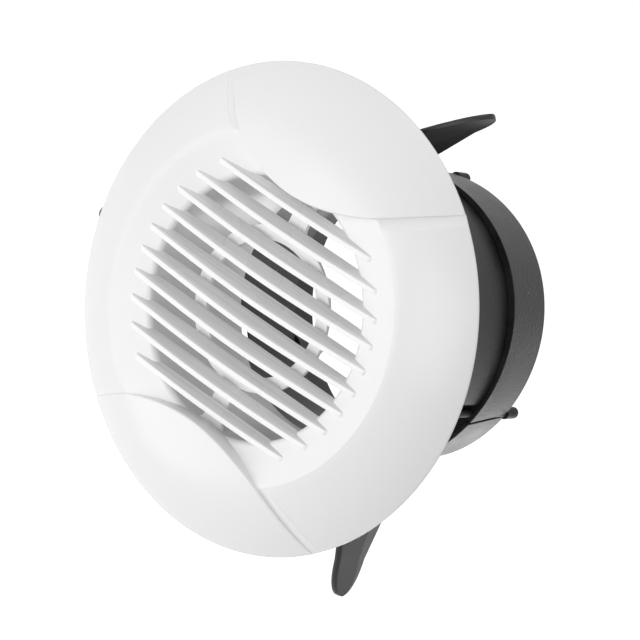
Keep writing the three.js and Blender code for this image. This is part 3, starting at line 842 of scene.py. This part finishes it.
# ---------------------------------------------------------------- wings
# Three black polypropylene blades, each moulded with a knuckle that turns on its pin. The blade is
# a little twisted, its front edge is rounded on the outer side and its rear margin is bent in.
wing_front, wing_rear, wing_straight, wing_rear_straight = 5.3, 40.0, 26.0, 14.0
wing_tip_start, wing_tip_front, wing_tip_rear, wing_length = 47.35, 9.0, 24.2, 59.6
wing_sweep_front, wing_sweep_rear = 2.0, 1.6
wing_front_bow, wing_rear_hollow = 0.5, 1.8     # of the edges, between the straight root and the tip
wing_tip_bias = 1.7           # crowding of the outline's points round the tip
wing_twist, wing_tip_twist, wing_twist_middle = 2.7, 1.2, 28.7
wing_twist_grows, wing_untwist_from, wing_untwist_over = 20, 46, 12
wing_roll_knuckle, wing_roll_root, wing_roll_tip = 0.5, 1.7, 0.9   # rounding of the front edge, outside
wing_roll_inside, wing_rear_rounding = 0.2, 0.4
wing_margin_widest, wing_margin_taper, wing_margin_from = 9.0, 0.28, 29
wing_margin_bend = 5.8        # degrees that the strip along the rear edge is bent inwards
knuckle_radius, knuckle_chamfer = 2.3, 0.25
notch_front, notch_rear, notch_depth = 17.2, 23.8, 6.5

wing_plastic = moulded_plastic(
    "satin_black_wing", pale=(0.030, 0.030, 0.031), deep=(0.019, 0.019, 0.020), speck=(0.11, 0.11, 0.11),
    roughness=(0.33, 0.45), grain_scale=1300, grain_height=0.02, patch_scale=70, speck_size=0.05, shine=0.32)


def bezier(points, share):
    """Point on a Bezier curve of any order, by repeated mixing of neighbours."""
    points = [np.asarray(point, float) for point in points]
    share = np.asarray(share)[:, None]
    while len(points) > 1:
        points = [a * (1 - share) + b * share for a, b in zip(points, points[1:])]
    return points[0]


def blade_edges():
    """Matching points (along, y) on the blade's front and rear edges, from the knuckle to the tip."""
    near = np.array([0, notch_depth / 2, notch_depth, notch_depth + 3])[:, None] * (1, 0)
    run, curve = np.linspace(0, 1, 12, endpoint=False), np.linspace(0, 1, 20, endpoint=False)
    end = 0.5 - 0.5 * (1 - np.linspace(0, 1, 24)) ** wing_tip_bias
    reach = wing_tip_start + (wing_length - wing_tip_start) * 4 / 3
    front_last, rear_last = (wing_tip_start, wing_tip_front), (wing_tip_start, wing_tip_rear)
    front_handle = (reach, wing_tip_front + wing_sweep_front)
    rear_handle = (reach, wing_tip_rear - wing_sweep_rear)
    bend = ((wing_straight + wing_tip_start) / 2, wing_front + wing_front_bow)
    rear_slope = (wing_tip_rear - wing_rear) / (wing_tip_start - wing_rear_straight)
    rear_middle = (
        wing_straight, wing_rear - wing_rear_hollow + rear_slope * (wing_straight - wing_rear_straight))
    rear_bend = (wing_rear_straight + 2, wing_rear)
    front = np.vstack([
        near + (0, wing_front), bezier([near[-1] + (0, wing_front), (wing_straight, wing_front)], run[1:]),
        bezier([(wing_straight, wing_front), bend, front_last], curve),
        bezier([front_last, front_handle, rear_handle, rear_last], end)])
    rear = np.vstack([
        near + (0, wing_rear), bezier([near[-1] + (0, wing_rear), rear_bend, rear_middle], run[1:]),
        bezier([rear_middle, rear_last], curve),
        bezier([rear_last, rear_handle, front_handle, front_last], end)])
    return front, rear


def blade():
    """The blade in the wing's own frame: knuckle along Y, blade along X, outer side towards Z. It is
    flat at the knuckle and a little twisted further out, its outer side rolls over along the front
    edge, and a strip along the rear edge is bent inwards."""
    front, rear = blade_edges()
    notch = (np.array([notch_front, notch_rear]) - wing_front) / (wing_rear - wing_front)
    share = np.sort(np.concatenate(
        [0.07 * crowded(9), notch, np.linspace(0.1, 0.94, 30), 1 - 0.04 * crowded(9)]))
    place = front[:, None] * (1 - share[None, :, None]) + rear[:, None] * share[None, :, None]
    along, y = place[..., 0], place[..., 1]
    width = np.linalg.norm(rear - front, axis=1)[:, None]
    from_front, from_rear = share * width, (1 - share) * width
    grown = smooth_step((along - notch_depth) / wing_twist_grows)
    margin = wing_margin_widest - wing_margin_taper * np.maximum(along - wing_margin_from, 0)
    margin = np.maximum(margin, 0.5)
    untwist = (wing_twist - wing_tip_twist) * np.clip((along - wing_untwist_from) / wing_untwist_over, 0, 1)
    middle = -np.tan(np.radians(wing_twist - untwist)) * (y - wing_twist_middle)
    bent = math.tan(math.radians(wing_margin_bend)) * np.maximum(margin - from_rear, 0)
    middle = grown * (middle - bent)
    outward = np.clip(along / wing_length, 0, 1)
    front_roll = wing_roll_root + (wing_roll_tip - wing_roll_root) * outward ** 2
    front_roll = wing_roll_knuckle + (front_roll - wing_roll_knuckle) * grown
    rear_roll = edge_roll(from_rear, wing_rear_rounding)
    outer = middle + wing_half_thickness - edge_roll(from_front, front_roll) - rear_roll
    inner = middle - wing_half_thickness + edge_roll(from_front, wing_roll_inside) + rear_roll
    outer = np.maximum(outer, inner + 0.1)
    solid = np.ones((len(front) - 1, len(share) - 1), bool)
    spring_gap = (share[:-1] >= notch[0]) & (share[:-1] < notch[1])
    solid[:2, spring_gap] = False
    return np.stack([along, y, outer], axis=-1), np.stack([along, y, inner], axis=-1), solid


def in_wing_frame(points, angle, lean):
    """Points from a wing's own frame to their place on the vent, for the wing held open."""
    swing = math.radians(angle + lean - 90)
    x, z = around(hinge_radius, angle)
    across, y, out = points[..., 0], points[..., 1], points[..., 2]
    return np.stack([x + across * math.cos(swing) + out * math.sin(swing), y,
                     z - across * math.sin(swing) + out * math.cos(swing)], axis=-1)


def wing_shells(angle, lean):
    """Blade, notched for the spring, and the knuckle's two barrels."""
    outer, inner, solid = blade()
    shells = [plate(in_wing_frame(outer, angle, lean), in_wing_frame(inner, angle, lean), solid)]
    end_radius = knuckle_radius - knuckle_chamfer
    for start, end in ((wing_front, notch_front), (notch_rear, wing_rear)):
        points, faces = turned_bar([
            (end_radius, start), (knuckle_radius, start + knuckle_chamfer),
            (knuckle_radius, end - knuckle_chamfer), (end_radius, end)])
        shells.append((in_wing_frame(points, angle, lean), faces))
    return shells


for number, (angle, lean) in enumerate(zip(hinge_angles, wing_leans), 1):
    make_piece(f"wing_blade_{number}", wing_shells(angle, lean), wing_plastic, f"wing_{number}",
               [f"wing_{number}"])

# ---------------------------------------------------------------- hinge pins
# Black acetal pins pushed in from behind through the band and the collar's end ring, each with a
# round-ended knob left standing behind the band.
pin_radius, pin_front, pin_chamfer = 1.4, 1.5, 0.3
knob_radius, knob_root_radius, knob_length, knob_round = 1.9, 2.1, 6.4, 0.9
knob_front = band_rear + seat_gap

pin_plastic = moulded_plastic(
    "matt_black_acetal", pale=(0.016, 0.016, 0.017), deep=(0.009, 0.009, 0.010), speck=(0.05, 0.05, 0.05),
    roughness=(0.45, 0.60), grain_scale=1100, grain_height=0.05, patch_scale=300, speck_size=0.02, shine=0.2)

knob_back = knob_front + knob_length
knob_bend = np.linspace(0, math.pi / 2, 7)
knob_end = zip(knob_radius - knob_round * (1 - np.cos(knob_bend)),
               knob_back - knob_round * (1 - np.sin(knob_bend)))
pin_profile = [
    (pin_radius - pin_chamfer, pin_front), (pin_radius, pin_front + pin_chamfer),
    (pin_radius, knob_front - 0.1),
    (knob_root_radius - 0.2, knob_front - 0.1), (knob_root_radius, knob_front + 0.15), *knob_end]
for number, angle in enumerate(hinge_angles, 1):
    make_piece(f"pin_{number}", [turned_bar(pin_profile, around(hinge_radius, angle))], pin_plastic,
               "vent", [f"hinge_pin_{number}"])

# ---------------------------------------------------------------- torsion springs
# Zinc-plated music wire wound round each pin in the knuckle's notch. A long leg lies under the
# blade and a short tail bears on the side of the collar's window, so the wing swings out.
wire_radius, wire_sides = 0.35, 12
coil_radius = 2.2
coil_turns, coil_pitch = 4, 0.95
coil_steps = 28               # points of the path in each turn
leg_length, leg_settles, tail_length = 10.0, 4.0, 2.9


def metal(name, pale, deep, roughness, streaks):
    """Plated steel: skinned, with two close tones and a gloss that follows the fine grain."""
    material, shader, _ = skinned_material(
        name, pale, deep, roughness, "Grain", grain_scale=streaks, grain_height=0.01, patch_scale=180,
        speck_size=0.02)
    feed(shader, {"Metallic": 1})
    return material


spring_steel = metal("zinc_plated_wire", (0.62, 0.63, 0.65), (0.48, 0.49, 0.51), (0.18, 0.32), 1500)


def wire_path(lean):
    """Centre line of the wire in the wing's own frame: tail, helix round the pin, and leg."""
    under = wing_half_thickness + wire_radius + seat_gap
    start = -math.radians(90 - lean)
    end = 2 * math.pi * coil_turns
    rise = coil_pitch / (2 * math.pi)
    front = (notch_front + notch_rear - coil_pitch * coil_turns) / 2
    angles = np.linspace(start, end, coil_steps * coil_turns)
    coil = np.stack(
        [coil_radius * np.sin(angles), front + rise * angles, -coil_radius * np.cos(angles)], axis=-1)
    back_along = np.array([math.cos(start), 0, math.sin(start)])
    tail = coil[0] - back_along * np.linspace(tail_length, 0.3, 6)[:, None]
    leg_rows = np.linspace(0.8, leg_length, 14)
    drop = -coil_radius + (coil_radius - under) * smooth_step(leg_rows / leg_settles)
    leg = np.stack([leg_rows, np.full(14, front + rise * end), drop], axis=-1)
    return np.vstack([tail, coil, leg])


def wire(path):
    """Round wire: a circle of points square to the path at each of its points."""
    along = np.gradient(path, axis=0)
    along /= np.linalg.norm(along, axis=1)[:, None]
    reference = np.array([0.05, 1.0, 0.02])
    first = np.cross(along, reference)
    first /= np.linalg.norm(first, axis=1)[:, None]
    second = np.cross(along, first)
    angles = np.linspace(0, 2 * math.pi, wire_sides, endpoint=False)[None, :, None]
    circle = first[:, None] * np.cos(angles) + second[:, None] * np.sin(angles)
    return bar_of_rings(path[:, None] + wire_radius * circle)


for number, (angle, lean) in enumerate(zip(hinge_angles, wing_leans), 1):
    placed = in_wing_frame(wire_path(lean), angle, lean)
    make_piece(f"spring_{number}", [wire(placed)], spring_steel, f"wing_{number}",
               [f"torsion_spring_{number}"])

# ---------------------------------------------------------------- screws
# Three zinc-plated pan-head screws that hold the collar's flange to the bosses behind the face.
# Their cross recess and head shape come from the working model; here the edges are rounded.
screw_steel = metal("zinc_plated_screw", (0.60, 0.61, 0.62), (0.45, 0.46, 0.48), (0.22, 0.36), 900)

for number in (1, 2, 3):
    work = bmesh.new()
    work.from_mesh(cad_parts[f"collar_screw_{number}"].data)
    bmesh.ops.remove_doubles(work, verts=work.verts, dist=2e-6)
    bmesh.ops.dissolve_limit(work, angle_limit=math.radians(2), verts=work.verts, edges=work.edges)
    screw = finished_piece(work, f"screw_{number}", screw_steel, "vent", [f"collar_screw_{number}"])
    round_edges(screw, 0.12)
